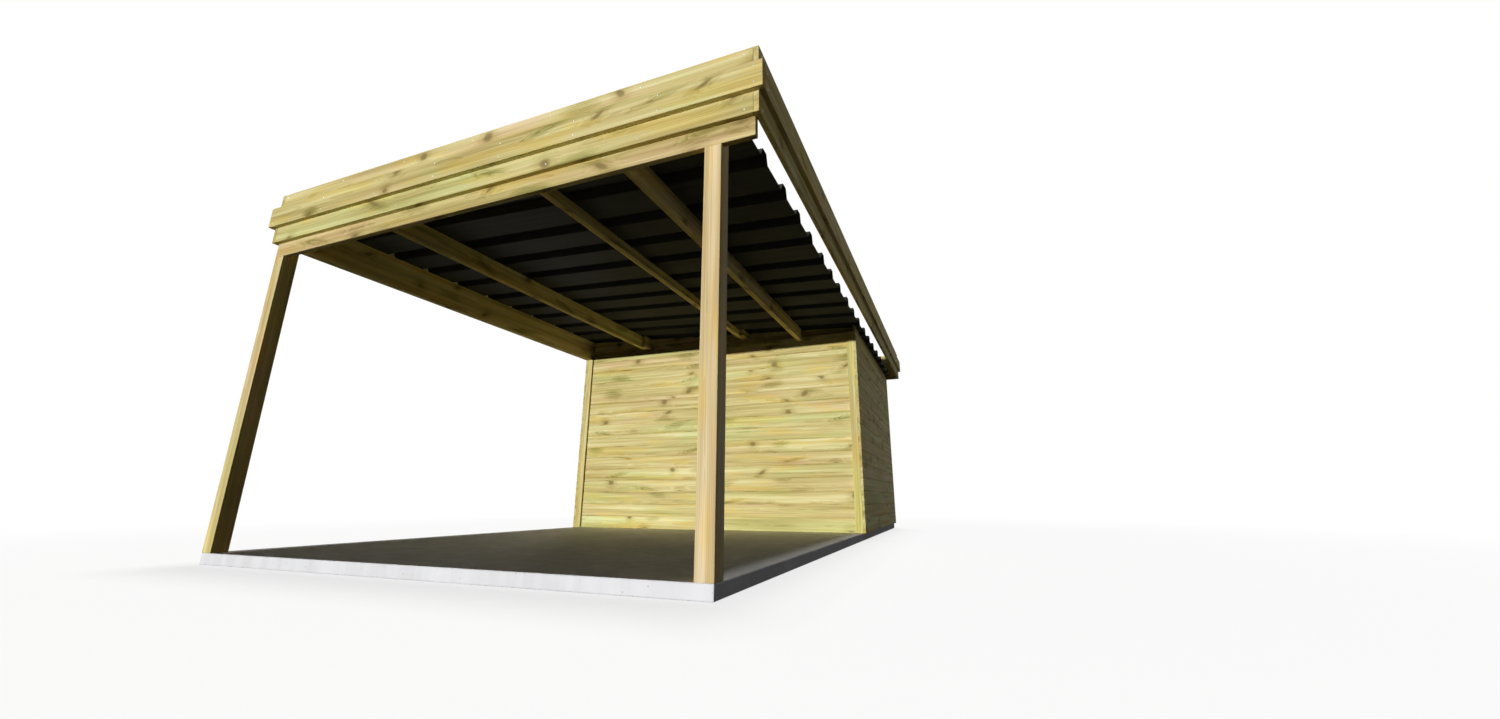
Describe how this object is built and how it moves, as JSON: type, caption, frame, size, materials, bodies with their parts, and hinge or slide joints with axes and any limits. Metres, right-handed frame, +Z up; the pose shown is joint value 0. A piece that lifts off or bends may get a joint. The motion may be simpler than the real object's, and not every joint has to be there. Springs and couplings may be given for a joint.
{
  "type": "carport",
  "caption": "Timber carport with a low roof on a concrete slab: open bay on notched posts, closed clad store behind, profiled metal sheets inside a stepped board fascia.",
  "frame": {"origin": "on the ground, at the middle of the overall outline seen from above", "axes": "+X to the right seen from the bay's entry, +Y from the entry to the back of the store, +Z up"},
  "size_m": [4.163, 6.838, 2.798],
  "materials": {
    "concrete": "plain floated concrete, matt",
    "frame_timber": "planed pressure-treated pine, unpainted, matt",
    "cladding": "planed pressure-treated pine boards laid level, matt",
    "fascia_board": "planed pressure-treated pine boards with knots, matt",
    "profiled_sheet": "dark grey coated steel sheet, satin"
  },
  "bodies": {
    "root": {"base_slab": "concrete", "front_post_left": "frame_timber", "front_post_right": "frame_timber", "bay_post_left": "frame_timber", "bay_post_right": "frame_timber", "rear_post_left": "frame_timber", "rear_post_right": "frame_timber", "front_beam": "frame_timber", "wall_beam": "frame_timber", "rear_beam": "frame_timber", "left_beam": "frame_timber", "wall_infill_left": "frame_timber", "wall_infill_middle": "frame_timber", "wall_infill_right": "frame_timber", "bay_purlin_left": "frame_timber", "bay_purlin_middle": "frame_timber", "bay_joist": "frame_timber", "store_purlin_left": "frame_timber", "store_purlin_middle": "frame_timber", "store_joist": "frame_timber", "bay_wall": "cladding", "store_left_wall": "cladding", "store_right_wall": "cladding", "store_rear_wall": "cladding", "roof_sheet_1": "profiled_sheet", "roof_sheet_2": "profiled_sheet", "roof_sheet_3": "profiled_sheet", "roof_sheet_4": "profiled_sheet", "roof_sheet_5": "profiled_sheet", "roof_sheet_6": "profiled_sheet", "roof_sheet_7": "profiled_sheet", "front_fascia_lower": "fascia_board", "front_fascia_middle": "fascia_board", "front_fascia_upper": "fascia_board", "left_fascia_lower": "fascia_board", "left_fascia_middle": "fascia_board", "left_fascia_upper": "fascia_board", "right_fascia_lower": "fascia_board", "right_fascia_middle": "fascia_board", "right_fascia_upper": "fascia_board", "rear_fascia_lower": "fascia_board", "rear_fascia_middle": "fascia_board", "rear_fascia_upper": "fascia_board"}
  },
  "joints": []
}
